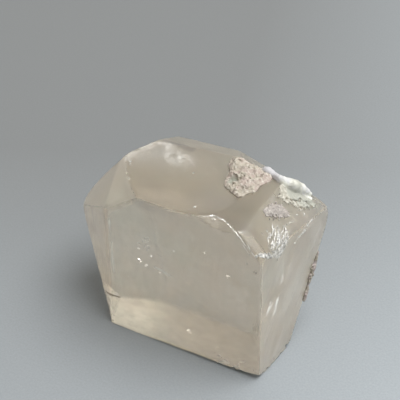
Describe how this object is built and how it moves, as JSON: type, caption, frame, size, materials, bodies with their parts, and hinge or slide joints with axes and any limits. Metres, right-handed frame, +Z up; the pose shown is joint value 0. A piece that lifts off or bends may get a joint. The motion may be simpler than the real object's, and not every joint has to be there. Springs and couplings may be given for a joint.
{
  "type": "topaz crystal",
  "caption": "Broken pale topaz crystal with flat faces, a scooped top and patches of mineral crust, lying on its cleaved base.",
  "frame": {"origin": "middle of the specimen's footprint, on the ground it lies on", "axes": "+Z up; +X along the specimen's length, towards its cleaved end; the broad flat front face looks along -Y"},
  "size_m": [0.0416, 0.0234, 0.0323],
  "materials": {
    "topaz": "clear pale beige topaz with frosted and worn faces",
    "pink_crust": "dull, granular, pinkish cream mineral crust",
    "white_crust": "dull white chalky mineral crust",
    "small_crust": "dull pinkish grey mineral crust",
    "brown_crust": "dull brown mineral crust"
  },
  "bodies": {
    "root": {"topaz_crystal": "topaz", "pink_granular_crust": "pink_crust", "white_chalky_crust": "white_crust", "small_pink_crust": "small_crust", "brown_edge_crust": "brown_crust"}
  },
  "joints": []
}
